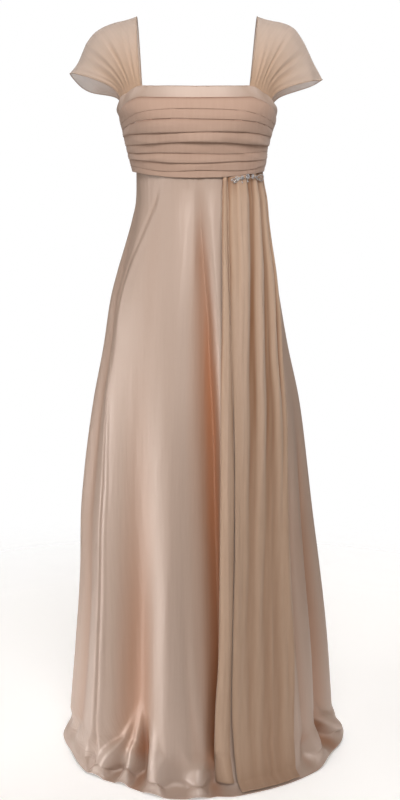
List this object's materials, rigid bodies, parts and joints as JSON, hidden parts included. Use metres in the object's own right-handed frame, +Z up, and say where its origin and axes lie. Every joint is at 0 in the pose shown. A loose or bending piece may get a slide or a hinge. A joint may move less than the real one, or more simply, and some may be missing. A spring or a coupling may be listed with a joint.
{
  "type": "chiffon gown",
  "caption": "Full-length empire gown with a pleated front, cap sleeves, a flared skirt breaking on the floor and a side drape hanging from a jewelled trim, filled out as worn.",
  "frame": {"origin": "midway between the tops of the two sleeves, where the wearer's shoulders carry the gown; the floor is 1.48 m below", "axes": "+Z up, the front of the gown faces -Y, the wearer's left is +X"},
  "size_m": [0.5998, 0.6049, 1.48],
  "materials": {
    "satin": "champagne satin, glossy face out",
    "chiffon": "matte crepe chiffon, half sheer in one layer",
    "crystal_trim": "cut clear stones in silvery settings",
    "zip_metal": "enamelled to match the satin"
  },
  "bodies": {
    "gown": {"bodice_front": "satin", "bodice_back_left": "satin", "bodice_back_right": "satin", "ruched_front": "chiffon", "sleeve_left": "chiffon", "sleeve_right": "chiffon", "skirt_front": "satin", "skirt_back_left": "satin", "skirt_back_right": "satin", "drape": "chiffon", "drape_tail": "chiffon", "jewelled_trim": "crystal_trim", "zip_slider": "zip_metal"},
    "zip_pull": {"zip_pull": "zip_metal"}
  },
  "joints": [
    {"name": "zip_pull_hinge", "type": "hinge", "parent": "gown", "child": "zip_pull", "pos_m": [0, 0.09587, -0.156], "axis": [1, 0, 0], "range_deg": [-4, 130]}
  ]
}
